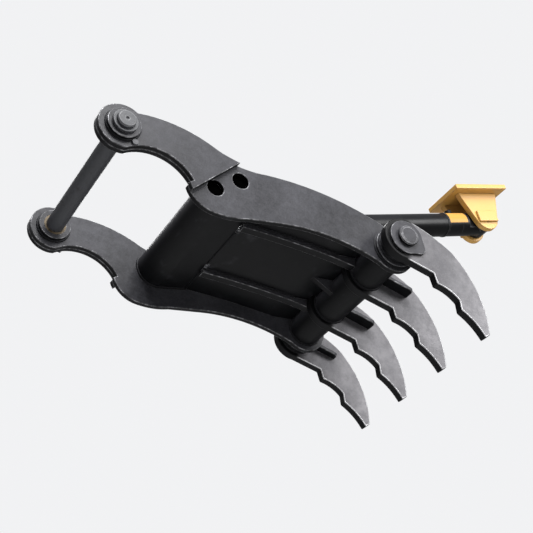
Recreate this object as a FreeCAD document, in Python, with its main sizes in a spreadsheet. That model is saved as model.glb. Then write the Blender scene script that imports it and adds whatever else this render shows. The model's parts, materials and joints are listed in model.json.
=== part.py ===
"""Hydraulic main-pin thumb for an excavator, as a parametric document.

Millimetres. The origin is the centre of the main pin, at mid-width. X runs
along the thumb from the main pin to the toothed end, Y across it, and Z
towards the stick that the thumb folds against. The pose is the stowed one.
"""
import FreeCAD, Part
import math
import os

os.makedirs("parts", exist_ok=True)
document = FreeCAD.newDocument("hydraulic_thumb")
sheet = document.addObject("Spreadsheet::Sheet", "sizes")

# Driving dimensions
SIZES = {
    # Main pin and the hubs that turn on it
    "main_pin_radius": 40,
    "main_pin_proud": 15.7,
    "main_pin_dimple": 9,
    "collar_radius": 53,
    "collar_width": 14,
    "running_gap": 0.05,
    "face_gap": 0.3,
    "boss_radius": 72,
    "boss_inset": 25,
    "boss_proud": 20,
    "bushing_wall": 10,
    "hub_radius": 104,
    "hub_top_angle": 62,
    "hub_low_angle": -70,
    # Side plates: where they stand, and the landmarks of their outline
    "plate_outer": 395,
    "plate_thickness": 25,
    "doubler_thickness": 25,
    "neck_top_x": 188,
    "neck_top_z": 114,
    "neck_back_x": 400,
    "neck_back_z": 82,
    "waist_x": 520,
    "waist_z": 64,
    "shoulder_x": 640,
    "shoulder_z": 80,
    "back_x": 880,
    "back_z": 111,
    "neck_arch_x": 180,
    "neck_arch_z": -44,
    "throat_x": 330,
    "throat_z": -121,
    "nose_corner_x": 315,
    "nose_corner_z": -134,
    "nose_front_x": 362,
    "nose_front_z": -189,
    "nose_x": 450,
    "nose_z": -213,
    "chin_x": 525,
    "chin_z": -203,
    "slope_x": 597,
    "slope_z": -177,
    "belly_low_x": 760,
    "belly_low_z": -127,
    "belly_x": 985,
    "belly_z": -92,
    "seam_low_x": 352,
    "seam_low_z": -140,
    "seam_top_x": 514,
    "seam_top_z": 64,
    "pocket_radius": 37,
    "pocket_depth": 20,
    "lower_hole_x": 434,
    "lower_hole_z": -92,
    "keeper_place": 62,
    "keeper_radius": 12,
    "keeper_height": 9,
    # Cross tube at the toothed end
    "tip_x": 1272,
    "tip_z": -27,
    "tip_plate_radius": 106,
    "tip_top_angle": 108,
    "tip_low_angle": -122,
    "tube_radius": 78,
    "tube_wall": 20,
    "tip_collar_radius": 92,
    "tip_collar_width": 18,
    "tip_pin_radius": 30,
    "tip_bush_length": 60,
    "tip_head_radius": 47,
    "tip_head_width": 20,
    "tip_head_chamfer": 4,
    "tip_head_groove": 2,
    "tip_head_step": 37,
    "flag_radius": 80,
    "flag_width": 12,
    "flag_tilt": 20,
    "flag_corner": 0.75,
    # Tines, with the corners of their outline measured from the cross tube
    "outer_tine_gap": 39,
    "inner_tine_place": 156,
    "tine_thickness": 40,
    "tine_ring_radius": 100,
    "tine_top_angle": 84,
    "tine_low_angle": -86,
    "tine_back_x": 230,
    "tine_back_z": 33,
    "tine_bend_x": 362,
    "tine_bend_z": -105,
    "tine_point_x": 434,
    "tine_point_z": -311,
    "tine_blunt_x": 412,
    "tine_blunt_z": -333,
    "first_notch_x": 146,
    "first_notch_z": -117,
    "first_tooth_x": 166,
    "first_tooth_z": -163,
    "second_notch_x": 278,
    "second_notch_z": -201,
    "second_tooth_x": 289,
    "second_tooth_z": -245,
    "tine_scoop": 10,
    "tine_crest": 10,
    "gusset_thickness": 18,
    "gusset_stand_off": 60,
    "gusset_reach": 215,
    "gusset_nose": 20,
    "gusset_tilt": 8,
    # Skins and webs between the side plates
    "skin_thickness": 12,
    "nose_skin_x": 500,
    "nose_skin_z": -10,
    "nose_skin_radius": 92,
    "nose_skin_start": 168,
    "fold_x": 650,
    "fold_z": -54,
    "belly_mid_x": 870,
    "belly_mid_z": -30,
    "belly_end_x": -172,
    "belly_end_z": 9,
    "slot_length": 40,
    "slot_width": 14,
    "web_inner": 176,
    "web_thickness": 25,
    "web_drop": 20,
    "web_top_z": 72,
    "web_back_x": 540,
    "web_top_angle": 125,
    "skin_top_angle": 145,
    "skin_low_angle": 155,
    "wear_bar_width": 40,
    "wear_bar_thickness": 22,
    "wear_bar_angle": 192,
    "rib_thickness": 25,
    "rib_low_angle": 208,
    # Cylinder: its two pins, rod and barrel
    "rod_pin_x": 536,
    "rod_pin_z": -6,
    "base_pin_x": 1990,
    "base_pin_z": 705,
    "cylinder_pin_radius": 30,
    "eye_bushing_wall": 7,
    "eye_radius": 58,
    "eye_half_width": 42,
    "eye_side_gap": 3,
    "lug_thickness": 25,
    "lug_radius": 64,
    "lug_right_angle": 35,
    "lug_left_angle": 150,
    "lug_low_angle": 205,
    "rod_pin_head_radius": 40,
    "rod_pin_head_width": 10,
    "shank_radius": 34,
    "shank_end": 100,
    "rod_radius": 25,
    "rod_neck_step": 5,
    "rod_socket_depth": 46,
    "gland_start": 330,
    "gland_flange": 32,
    "gland_spigot": 52,
    "gland_radius": 67,
    "wiper_radius": 33,
    "wiper_width": 8,
    "gland_bolt_circle": 53,
    "gland_bolt_radius": 8,
    "gland_bolt_height": 8,
    "barrel_radius": 57,
    "bore_radius": 45,
    "barrel_end": 100,
    "plug_length": 44,
    "piston_length": 60,
    "piston_end_gap": 5,
    "piston_clearance": 0.1,
    "seal_width": 14,
    "seal_depth": 5,
    "rod_nut_radius": 30,
    "rod_nut_width": 24,
    "band_place": 234,
    "band_width": 10,
    "band_height": 3,
    "port_radius": 17,
    "port_height": 20,
    "port_bore": 8,
    "port_depth": 16,
    "passage_radius": 5,
    "base_port_place": 165,
    "gland_port_place": 62,
    # Base bracket under the stick
    "bracket_angle": 25.5,
    "bracket_height": 162,
    "pad_length": 330,
    "pad_width": 240,
    "pad_thickness": 25,
    "ear_thickness": 30,
    "ear_radius": 70,
    "ear_foot": 250,
    "base_flag_width": 12,
    "base_flag_length": 120,
}
for row, (alias, value) in enumerate(SIZES.items(), start=1):
    sheet.set(f"A{row}", alias)
    sheet.set(f"B{row}", str(value))
    sheet.setAlias(f"B{row}", alias)
document.recompute()

ALONG_Y = FreeCAD.Rotation(FreeCAD.Vector(1, 0, 0), -90)
SIDES = (("left", -1), ("right", 1))
pieces = {}


def size(alias):
    """Read one driving dimension from the sheet."""
    return float(sheet.get(alias))


def cell(alias):
    """Name a driving dimension inside an expression."""
    return f"<<sizes>>.{alias}"


def keep(name, piece):
    """Register a finished piece under the name of its file."""
    piece.Label = name
    pieces[name] = piece
    return piece


def bind(piece, **expressions):
    """Bind properties of an object to expressions, with _ for a dot."""
    for path, expression in expressions.items():
        piece.setExpression(path.replace("_", "."), expression)
    return piece


def polar(centre, radius, degrees):
    """Point at a radius and angle from a centre."""
    angle = math.radians(degrees)
    return (centre[0] + radius * math.cos(angle), centre[1] + radius * math.sin(angle))


# Outlines are lists of steps, each a line or an arc to the next corner

def line(start, end):
    """Straight edge in the plane of a sketch."""
    return Part.LineSegment(FreeCAD.Vector(*start, 0), FreeCAD.Vector(*end, 0))


def arc(start, middle, end):
    """Arc through three points in the plane of a sketch."""
    return Part.Arc(*(FreeCAD.Vector(*point, 0) for point in (start, middle, end)))


def circle(centre, radius):
    """Full circle in the plane of a sketch."""
    return Part.Circle(FreeCAD.Vector(*centre, 0), FreeCAD.Vector(0, 0, 1), radius)


def polygon(points):
    """Closed run of straight edges."""
    return [line(a, b) for a, b in zip(points, points[1:] + points[:1])]


def sketch_in(body, role, edges, name):
    """Draw edges in a sketch on one of the body's own origin planes."""
    plane = next(item for item in body.Origin.OriginFeatures if item.Role == role)
    sketch = body.newObject("Sketcher::SketchObject", name)
    sketch.AttachmentSupport = (plane, [""])
    sketch.MapMode = "FlatFace"
    for edge in edges:
        sketch.addGeometry(edge, False)
    return sketch


def padded(name, edges, thickness, start):
    """Plate with an outline in X and Z, from the start place towards +Y."""
    body = document.addObject("PartDesign::Body", name)
    sketch = sketch_in(body, "XZ_Plane", edges, name + "_outline")
    pad = body.newObject("PartDesign::Pad", name + "_pad")
    pad.Profile = sketch
    pad.Reversed = True
    pad.setExpression("Length", thickness)
    return bind(body, Placement_Base_y=start)


def plate(name, edges, thickness, start):
    """Plate that is a finished piece."""
    return keep(name, padded(name, edges, thickness, start))


def pocketed(body, edges, name):
    """Cut an outline right through a plate."""
    document.recompute()
    before = body.Shape.Volume
    sketch = sketch_in(body, "XZ_Plane", edges, name + "_outline")
    pocket = body.newObject("PartDesign::Pocket", name)
    pocket.Profile = sketch
    pocket.Type = "ThroughAll"
    pocket.Midplane = True
    document.recompute()
    if body.Shape.Volume >= before:
        raise ValueError(f"{name} cuts nothing")
    return body


def revolved(name, profile, reference="H_Axis"):
    """Solid of revolution of a closed profile about a sketch axis."""
    body = document.addObject("PartDesign::Body", name)
    sketch = sketch_in(body, "XY_Plane", profile, name + "_profile")
    revolution = body.newObject("PartDesign::Revolution", name + "_turn")
    revolution.Profile = sketch
    revolution.ReferenceAxis = (sketch, [reference])
    revolution.Angle = 360
    return body


def turned(name, profile, reference="H_Axis"):
    """Turned piece that is finished."""
    return keep(name, revolved(name, profile, reference))


def cylinder(name, radius, length, start, at=("0", "0")):
    """Round bar along Y from the start place, centred at x and z."""
    bar = document.addObject("Part::Cylinder", name)
    bar.Placement = FreeCAD.Placement(FreeCAD.Vector(), ALONG_Y)
    return bind(bar, Radius=radius, Height=length, Placement_Base_x=at[0],
                Placement_Base_y=start, Placement_Base_z=at[1])


def cut(name, base, tool):
    """One solid less another."""
    result = document.addObject("Part::Cut", name)
    result.Base = base
    result.Tool = tool
    return result


def fused(name, *parts):
    """Solids joined into one."""
    result = document.addObject("Part::MultiFuse", name)
    result.Shapes = list(parts)
    result.Refine = True
    return result


def ring(name, outer, inner, length, start, at=("0", "0")):
    """Ring along Y from the start place, centred at x and z."""
    whole = cylinder(name + "_outside", outer, length, start, at)
    bore = cylinder(name + "_bore", inner, f"{length} + 2", f"{start} - 1", at)
    return keep(name, cut(name, whole, bore))


def side_start(sign, inner, width):
    """Expression for where a piece starts on the left or right side."""
    return f"{inner}" if sign > 0 else f"-({inner}) - ({width})"


def grouped(name, members):
    """Alike pieces that share one file as separate solids."""
    group = document.addObject("Part::Compound", name)
    group.Links = members
    return keep(name, group)


# Named places that several pieces share
ORIGIN = (0.0, 0.0)
tip = (size("tip_x"), size("tip_z"))
rod_pin = (size("rod_pin_x"), size("rod_pin_z"))
base_pin = (size("base_pin_x"), size("base_pin_z"))
TIP_AT = (cell("tip_x"), cell("tip_z"))
ROD_PIN_AT = (cell("rod_pin_x"), cell("rod_pin_z"))
BASE_PIN_AT = (cell("base_pin_x"), cell("base_pin_z"))
cylinder_length = math.dist(rod_pin, base_pin)
cylinder_angle = math.degrees(math.atan2(base_pin[1] - rod_pin[1], base_pin[0] - rod_pin[0]))


def place(alias, centre=ORIGIN):
    """Landmark of an outline from its x and z sizes, measured from a centre."""
    return (centre[0] + size(alias + "_x"), centre[1] + size(alias + "_z"))


# Side plates and neck doublers

def side_outline():
    """Outline of a side plate, round the hub, back, tip, belly and nose."""
    hub_top = polar(ORIGIN, size("hub_radius"), size("hub_top_angle"))
    hub_low = polar(ORIGIN, size("hub_radius"), size("hub_low_angle"))
    tip_top = polar(tip, size("tip_plate_radius"), size("tip_top_angle"))
    tip_low = polar(tip, size("tip_plate_radius"), size("tip_low_angle"))
    return [
        arc(hub_top, place("neck_top"), place("neck_back")),
        arc(place("neck_back"), place("waist"), place("shoulder")),
        arc(place("shoulder"), place("back"), tip_top),
        arc(tip_top, polar(tip, size("tip_plate_radius"), 0), tip_low),
        arc(tip_low, place("belly"), place("belly_low")),
        line(place("belly_low"), place("slope")),
        arc(place("slope"), place("chin"), place("nose")),
        arc(place("nose"), place("nose_front"), place("nose_corner")),
        line(place("nose_corner"), place("throat")),
        arc(place("throat"), place("neck_arch"), hub_low),
        arc(hub_low, polar(ORIGIN, size("hub_radius"), 180), hub_top),
    ]


def side_holes():
    """Holes of a side plate for the hub boss and the cross tube."""
    return [
        circle(ORIGIN, size("boss_radius")),
        circle(tip, size("tube_radius")),
    ]


def beyond_seam():
    """Area on the far side of the doubler's slanted end."""
    low = place("seam_low")
    top = place("seam_top")
    run = (top[0] - low[0], top[1] - low[1])
    span = size("tip_x") + size("tip_plate_radius")
    under = (low[0] - run[0], low[1] - run[1])
    over = (top[0] + run[0], top[1] + run[1])
    return polygon([under, over, (over[0] + span, over[1]), (over[0] + span, under[1])])


PLATE_INSIDE = f"({cell('plate_outer')} - {cell('plate_thickness')})"
POCKET_LENGTH = f"({cell('pocket_depth')} + 1)"
for side, sign in SIDES:
    whole_plate = padded(f"side_plate_{side}_whole", side_outline() + side_holes(), cell("plate_thickness"),
                         side_start(sign, PLATE_INSIDE, cell("plate_thickness")))
    pocket_start = side_start(sign, f"{cell('plate_outer')} - {cell('pocket_depth')}", POCKET_LENGTH)
    pockets = [cylinder(f"{corner}_pocket_{side}", cell("pocket_radius"), POCKET_LENGTH, pocket_start,
                        (cell(f"{corner}_x"), cell(f"{corner}_z")))
               for corner in ("rod_pin", "lower_hole")]
    keep(f"side_plate_{side}", cut(f"side_plate_{side}", whole_plate, fused(f"pockets_{side}", *pockets)))
    doubler_start = side_start(sign, cell("plate_outer"), cell("doubler_thickness"))
    doubler = plate(f"neck_doubler_{side}", side_outline() + [circle(ORIGIN, size("boss_radius"))],
                    cell("doubler_thickness"), doubler_start)
    pocketed(doubler, beyond_seam(), f"doubler_end_{side}")

# Hubs: boss tube, bushing, pin and its collars
BOSS_INNER = f"({PLATE_INSIDE} - {cell('boss_inset')})"
BOSS_OUTER = f"({cell('plate_outer')} + {cell('doubler_thickness')} + {cell('boss_proud')})"
BOSS_LENGTH = f"({BOSS_OUTER} - {BOSS_INNER})"
BUSHING_INSIDE = f"{cell('main_pin_radius')} + {cell('running_gap')}"
BUSHING_OUTSIDE = f"{BUSHING_INSIDE} + {cell('bushing_wall')}"
COLLAR_INNER = f"{BOSS_OUTER} + {cell('face_gap')}"
for side, sign in SIDES:
    boss_start = side_start(sign, BOSS_INNER, BOSS_LENGTH)
    ring(f"hub_boss_{side}", cell("boss_radius"), BUSHING_OUTSIDE, BOSS_LENGTH, boss_start)
    ring(f"hub_bushing_{side}", BUSHING_OUTSIDE, BUSHING_INSIDE, BOSS_LENGTH, boss_start)
    ring(f"main_pin_collar_{side}", cell("collar_radius"), cell("main_pin_radius"), cell("collar_width"),
         side_start(sign, COLLAR_INNER, cell("collar_width")))


def shaft_profile(reach, radius, chamfer, dimple):
    """Half section of a shaft along Y with chamfers and centre dimples."""
    right = [(dimple, reach), (radius - chamfer, reach), (radius, reach - chamfer)]
    left = [(x, -y) for x, y in reversed(right)]
    return polygon([(0, reach - dimple)] + right + left + [(0, dimple - reach)])


main_pin_reach = (size("plate_outer") + size("doubler_thickness") + size("boss_proud") + size("face_gap")
                  + size("collar_width") + size("main_pin_proud"))
turned("main_pin", shaft_profile(main_pin_reach, size("main_pin_radius"), size("main_pin_dimple") / 2,
                                 size("main_pin_dimple")), "V_Axis")


def hexagon(centre, flat_radius, tilt=0):
    """Closed hexagon by its half width across flats."""
    corner = flat_radius / math.cos(math.radians(30))
    return polygon([polar(centre, corner, tilt + 60 * step) for step in range(6)])


DOUBLER_OUTER = f"{cell('plate_outer')} + {cell('doubler_thickness')}"
keeper_head = hexagon((size("keeper_place"), -size("keeper_place")), size("keeper_radius"))
grouped("keeper_bolts", [
    padded(f"keeper_bolt_{side}", keeper_head, cell("keeper_height"),
           side_start(sign, DOUBLER_OUTER, cell("keeper_height")))
    for side, sign in SIDES])

# Nose skin, belly skin, webs and wear bars
fold = place("fold")
nose_centre = place("nose_skin")


def tangent_angle():
    """Angle on the rolled nose where the flat run to the fold leaves it."""
    toward = math.degrees(math.atan2(fold[1] - nose_centre[1], fold[0] - nose_centre[0]))
    return toward - math.degrees(math.acos(size("nose_skin_radius") / math.dist(fold, nose_centre)))


def nose_inner_points():
    """Inner corners of the nose skin: roll start, tangent point, fold."""
    inner = size("nose_skin_radius") - size("skin_thickness")
    leave = tangent_angle()
    inward = polar(ORIGIN, -size("skin_thickness"), leave)
    return (polar(nose_centre, inner, size("nose_skin_start")), polar(nose_centre, inner, leave),
            (fold[0] + inward[0], fold[1] + inward[1]))


def nose_skin_outline():
    """Rolled plate round the nose with a flat run up to the fold."""
    outer = size("nose_skin_radius")
    inner = outer - size("skin_thickness")
    start = size("nose_skin_start")
    leave = tangent_angle()
    half = (start + leave + 360) / 2
    inner_start, inner_leave, inner_fold = nose_inner_points()
    outer_start = polar(nose_centre, outer, start)
    outer_leave = polar(nose_centre, outer, leave)
    return [
        arc(outer_start, polar(nose_centre, outer, half), outer_leave),
        line(outer_leave, fold),
        line(fold, inner_fold),
        line(inner_fold, inner_leave),
        arc(inner_leave, polar(nose_centre, inner, half), inner_start),
        line(inner_start, outer_start),
    ]


plate("nose_skin", nose_skin_outline(), f"2 * {PLATE_INSIDE}", f"-{PLATE_INSIDE}")


def shifted(point, rise):
    """Point moved straight up by a rise."""
    return (point[0], point[1] + rise)


def belly_strip(low, high, start, end):
    """Curved strip that follows the belly between two rises above it."""
    middle = place("belly_mid")
    return [
        arc(shifted(start, low), shifted(middle, low), shifted(end, low)),
        line(shifted(end, low), shifted(end, high)),
        arc(shifted(end, high), shifted(middle, high), shifted(start, high)),
        line(shifted(start, high), shifted(start, low)),
    ]


def tube_point(alias):
    """Point on the cross tube at a named angle."""
    return polar(tip, size("tube_radius"), size(alias))


def tube_arc(start_alias, end_alias):
    """Arc on the cross tube between two named angles."""
    half = (size(start_alias) + size(end_alias)) / 2
    return arc(tube_point(start_alias), polar(tip, size("tube_radius"), half), tube_point(end_alias))


def belly_outline():
    """Arched belly that bends up at its end to meet the cross tube."""
    rise = size("skin_thickness")
    under, side, over, start = belly_strip(0, rise, fold, belly_end)
    return [
        under,
        line(belly_end, tube_point("skin_low_angle")),
        tube_arc("skin_low_angle", "skin_top_angle"),
        line(tube_point("skin_top_angle"), shifted(belly_end, rise)),
        over,
        start,
    ]


belly_end = place("belly_end", tip)
belly_skin = padded("belly_plate", belly_outline(), f"2 * {PLATE_INSIDE}", f"-{PLATE_INSIDE}")
slots = []
notches = []
for side, sign in SIDES:
    slot = document.addObject("Part::Box", f"fold_slot_{side}")
    bind(slot, Length=f"{cell('slot_width')} + 1", Width=f"{cell('slot_length')} + 1",
         Height=f"4 * {cell('skin_thickness')}", Placement_Base_x=f"{cell('fold_x')} - 1",
         Placement_Base_y=side_start(sign, f"{cell('web_inner')} - {cell('slot_length')}",
                                     f"{cell('slot_length')} + 1"),
         Placement_Base_z=f"{cell('fold_z')} - 2 * {cell('skin_thickness')}")
    slots.append(slot)
    notches.append(cylinder(
        f"tine_notch_{side}", cell("tine_ring_radius"), cell("tine_thickness"),
        side_start(sign, f"{cell('inner_tine_place')} - {cell('tine_thickness')} / 2",
                   cell("tine_thickness")),
        TIP_AT))
keep("belly_skin", cut("belly_skin", belly_skin, fused("belly_openings", *slots, *notches)))


def web_outline():
    """Outline of a web that stands on the belly skin from the nose to the cross tube."""
    inner_leave, inner_fold = nose_inner_points()[1:]
    rise = size("skin_thickness")
    top = size("web_top_z")
    corner = (size("web_back_x"), top / 2)
    shoulder = (size("shoulder_x"), top - rise)
    return [
        line(shifted(fold, rise), inner_fold),
        line(inner_fold, inner_leave),
        line(inner_leave, corner),
        line(corner, shoulder),
        arc(shoulder, (size("back_x"), size("back_z") - size("web_drop")), tube_point("web_top_angle")),
        tube_arc("web_top_angle", "skin_top_angle"),
        line(tube_point("skin_top_angle"), shifted(belly_end, rise)),
        arc(shifted(belly_end, rise), shifted(place("belly_mid"), rise), shifted(fold, rise)),
    ]


def wear_bar_outline():
    """Bar under the belly skin, from the fold down to the cross tube."""
    fall = size("wear_bar_thickness")
    under, _, over, start = belly_strip(-fall, 0, fold, belly_end)
    return [
        under,
        line(shifted(belly_end, -fall), tube_point("wear_bar_angle")),
        tube_arc("wear_bar_angle", "skin_low_angle"),
        line(tube_point("skin_low_angle"), belly_end),
        over,
        start,
    ]


for side, sign in SIDES:
    plate(f"web_{side}", web_outline(), cell("web_thickness"),
          side_start(sign, cell("web_inner"), cell("web_thickness")))
    plate(f"wear_bar_{side}", wear_bar_outline(), cell("wear_bar_width"),
          side_start(sign, cell("web_inner"), cell("wear_bar_width")))


def centre_rib_outline():
    """Rib under the bent end of the belly skin, in the corner to the cross tube."""
    return [
        line(belly_end, tube_point("skin_low_angle")),
        tube_arc("skin_low_angle", "rib_low_angle"),
        line(tube_point("rib_low_angle"), belly_end),
    ]


plate("centre_rib", centre_rib_outline(), cell("rib_thickness"), f"-{cell('rib_thickness')} / 2")

# Rod lugs and the pin through them
LUG_INNER = f"{cell('eye_half_width')} + {cell('eye_side_gap')}"


def lug_outline():
    """Lug that stands in the rolled nose and holds the rod pin."""
    inner = size("nose_skin_radius") - size("skin_thickness")
    leave = tangent_angle()
    inner_leave, inner_fold = nose_inner_points()[1:]
    low = size("lug_low_angle")
    start = polar(nose_centre, inner, low)
    right = polar(rod_pin, size("lug_radius"), size("lug_right_angle"))
    top = polar(rod_pin, size("lug_radius"), (size("lug_right_angle") + size("lug_left_angle")) / 2)
    left = polar(rod_pin, size("lug_radius"), size("lug_left_angle"))
    return [
        arc(start, polar(nose_centre, inner, (low + leave + 360) / 2), inner_leave),
        line(inner_leave, inner_fold),
        line(inner_fold, right),
        arc(right, top, left),
        line(left, start),
        circle(rod_pin, size("cylinder_pin_radius")),
    ]


for side, sign in SIDES:
    plate(f"rod_lug_{side}", lug_outline(), cell("lug_thickness"),
          side_start(sign, LUG_INNER, cell("lug_thickness")))
LUG_OUTER = f"({LUG_INNER} + {cell('lug_thickness')})"
rod_pin_bar = cylinder("rod_pin_bar", cell("cylinder_pin_radius"),
                       f"2 * {LUG_OUTER} + {cell('rod_pin_head_width')}", f"-{LUG_OUTER}", ROD_PIN_AT)
rod_pin_head = cylinder("rod_pin_head", cell("rod_pin_head_radius"), cell("rod_pin_head_width"),
                        f"-{LUG_OUTER} - {cell('rod_pin_head_width')}", ROD_PIN_AT)
keep("rod_pin", fused("rod_pin", rod_pin_bar, rod_pin_head))
ring("rod_pin_retainer", cell("rod_pin_head_radius"), cell("cylinder_pin_radius"),
     cell("rod_pin_head_width"), LUG_OUTER, ROD_PIN_AT)

# Cross tube, its collars, bushes, pin and flags
TINE_INNER = f"({cell('plate_outer')} + {cell('tip_collar_width')} + {cell('outer_tine_gap')})"
TINE_OUTER = f"({TINE_INNER} + {cell('tine_thickness')})"
OUTER_TINE = f"({TINE_INNER} + {cell('tine_thickness')} / 2)"
TUBE_INSIDE = f"{cell('tube_radius')} - {cell('tube_wall')}"
ring("cross_tube", cell("tube_radius"), TUBE_INSIDE, f"2 * {TINE_INNER}", f"-{TINE_INNER}", TIP_AT)
keep("tip_pin", cylinder("tip_pin", cell("tip_pin_radius"), f"2 * {TINE_OUTER} + 2 * {cell('flag_width')}",
                         f"-{TINE_OUTER} - {cell('flag_width')}", TIP_AT))


def between(start, end, share):
    """Point a share of the way from one corner to another."""
    return (start[0] + share * (end[0] - start[0]), start[1] + share * (end[1] - start[1]))


def flag_outline():
    """Round flag with one trimmed square corner, bored for the pin."""
    radius = size("flag_radius")
    tilt = size("flag_tilt")
    low = polar(tip, radius, tilt - 90)
    upper = polar(tip, radius, tilt)
    corner = polar(tip, radius * math.sqrt(2), tilt - 45)
    low_trim = between(low, corner, size("flag_corner"))
    upper_trim = between(upper, corner, size("flag_corner"))
    return [
        arc(upper, polar(tip, radius, tilt + 135), low),
        line(low, low_trim),
        line(low_trim, upper_trim),
        line(upper_trim, upper),
        circle(tip, size("tip_pin_radius")),
    ]


def head_profile(sign):
    """Half section of a pin head with a chamfer and a raised middle."""
    radius = size("tip_head_radius")
    chamfer = size("tip_head_chamfer")
    width = size("tip_head_width")
    step = size("tip_head_step")
    groove = size("tip_head_groove")
    corners = [(0, 0), (radius, 0), (radius, width - chamfer - groove), (radius - chamfer, width - groove),
               (step, width - groove), (step - groove, width), (0, width)]
    return polygon([(x, sign * y) for x, y in corners])


for side, sign in SIDES:
    ring(f"tip_collar_{side}", cell("tip_collar_radius"), cell("tube_radius"), cell("tip_collar_width"),
         side_start(sign, cell("plate_outer"), cell("tip_collar_width")), TIP_AT)
    ring(f"tip_bush_{side}", TUBE_INSIDE, cell("tip_pin_radius"), cell("tip_bush_length"),
         side_start(sign, f"{TINE_INNER} - {cell('tip_bush_length')}", cell("tip_bush_length")), TIP_AT)
    plate(f"tip_flag_{side}", flag_outline(), cell("flag_width"),
          side_start(sign, TINE_OUTER, cell("flag_width")))
    head = turned(f"tip_pin_head_{side}", head_profile(sign), "V_Axis")
    bind(head, Placement_Base_x=TIP_AT[0], Placement_Base_z=TIP_AT[1],
         Placement_Base_y=f"{sign} * ({TINE_OUTER} + {cell('flag_width')})")


# Tines with their stepped inner edge

def scooped(start, end):
    """Arc between two corners, hollowed towards the back of the tine."""
    chord = math.dist(start, end)
    share = size("tine_scoop") / chord
    middle = between(start, end, 1 / 2)
    hollow = (middle[0] + share * (end[1] - start[1]), middle[1] - share * (end[0] - start[0]))
    return arc(start, hollow, end)


def tine_outline(bore):
    """Outline of a tine: root ring, hooked back, blunt point and teeth."""
    radius = size("tine_ring_radius")
    ring_top = polar(tip, radius, size("tine_top_angle"))
    ring_low = polar(tip, radius, size("tine_low_angle"))
    back = place("tine_back", tip)
    crest = shifted(between(ring_top, back, 1 / 2), size("tine_crest"))
    point, blunt = place("tine_point", tip), place("tine_blunt", tip)
    first_notch, first_tooth = place("first_notch", tip), place("first_tooth", tip)
    second_notch, second_tooth = place("second_notch", tip), place("second_tooth", tip)
    return [
        arc(ring_top, crest, back),
        arc(back, place("tine_bend", tip), point),
        line(point, blunt),
        scooped(blunt, second_tooth),
        line(second_tooth, second_notch),
        scooped(second_notch, first_tooth),
        line(first_tooth, first_notch),
        line(first_notch, ring_low),
        arc(ring_low, polar(tip, radius, 180), ring_top),
        circle(tip, bore),
    ]


# Name, side, place and bore of each tine, and its faces that carry a gusset, with how far it stands off
INNER_TINE = cell("inner_tine_place")
outer_stand_off = size("outer_tine_gap") - size("face_gap")
inner_faces = ((-1, size("gusset_stand_off")), (1, size("gusset_stand_off")))
TINES = (("tine_1", "-", OUTER_TINE, "tip_pin_radius", ((1, outer_stand_off),)),
         ("tine_2", "-", INNER_TINE, "tube_radius", inner_faces),
         ("tine_3", "", INNER_TINE, "tube_radius", inner_faces),
         ("tine_4", "", OUTER_TINE, "tip_pin_radius", ((-1, outer_stand_off),)))
for name, minus, middle, tine_bore, _ in TINES:
    plate(name, tine_outline(size(tine_bore)), cell("tine_thickness"),
          f"{minus}{middle} - {cell('tine_thickness')} / 2")


def gusset_outline(out, stand_off):
    """Gusset seen from above its tine, on one side, with a rounded end."""
    edge = size("tine_thickness") / 2
    stand = edge + stand_off
    nose = size("gusset_nose")
    reach = size("gusset_reach")
    root = size("tube_radius")
    corner = (reach - nose, out * stand)
    bend = polar((reach - nose, out * (stand - nose)), nose, out * 45)
    return [
        line((root, out * edge), (root, out * stand)),
        line((root, out * stand), corner),
        arc(corner, bend, (reach, out * (stand - nose))),
        line((reach, out * (stand - nose)), (reach, out * edge)),
        line((reach, out * edge), (root, out * edge)),
    ]


def gusset(tine, out, stand_off):
    """Gusset between the cross tube and one face of a tine."""
    name, minus, middle = tine[:3]
    label = f"{name}_gusset_{'near' if out < 0 else 'far'}"
    body = document.addObject("PartDesign::Body", label)
    sketch = sketch_in(body, "XY_Plane", gusset_outline(out, stand_off), label + "_outline")
    pad = body.newObject("PartDesign::Pad", label + "_pad")
    pad.Profile = sketch
    pad.Midplane = True
    pad.setExpression("Length", cell("gusset_thickness"))
    body.Placement.Rotation = FreeCAD.Rotation(FreeCAD.Vector(0, 1, 0), size("gusset_tilt"))
    return bind(body, Placement_Base_x=TIP_AT[0], Placement_Base_z=TIP_AT[1],
                Placement_Base_y=f"{minus}{middle}")


grouped("tine_gussets", [gusset(tine, *face) for tine in TINES for face in tine[-1]])

# Cylinder pieces are drawn along X from the rod pin and then laid on its line
CYLINDER_TURN = FreeCAD.Rotation(FreeCAD.Vector(0, -1, 0), cylinder_angle)


def laid(piece, at=ROD_PIN_AT):
    """Lay a piece drawn along X on the line of the cylinder."""
    piece.Placement = FreeCAD.Placement(FreeCAD.Vector(), CYLINDER_TURN)
    return bind(piece, Placement_Base_x=at[0], Placement_Base_z=at[1])


def tube_profile(start, end, inner, outer):
    """Half section of a plain tube along X."""
    return polygon([(start, inner), (end, inner), (end, outer), (start, outer)])


EYE_WIDTH = f"2 * {cell('eye_half_width')}"
EYE_BORE = f"{cell('cylinder_pin_radius')} + {cell('running_gap')}"
EYE_SEAT = f"{EYE_BORE} + {cell('eye_bushing_wall')}"


def eye(name, shank_start, shank_stop, shank_radius, at):
    """Bearing eye across the cylinder with a round shank along it."""
    drum = cylinder(name + "_round", cell("eye_radius"), EYE_WIDTH, f"-{cell('eye_half_width')}", at)
    shank = laid(revolved(name + "_shank", tube_profile(shank_start, shank_stop, 0, shank_radius)))
    seat = cylinder(name + "_seat", EYE_SEAT, f"{EYE_WIDTH} + 2", f"-{cell('eye_half_width')} - 1", at)
    return cut(name, fused(name + "_solid", drum, shank), seat)


def eye_bushing(name, at):
    """Bushing pressed in an eye, flush with its faces."""
    return ring(name, EYE_SEAT, EYE_BORE, EYE_WIDTH, f"-{cell('eye_half_width')}", at)


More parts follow.
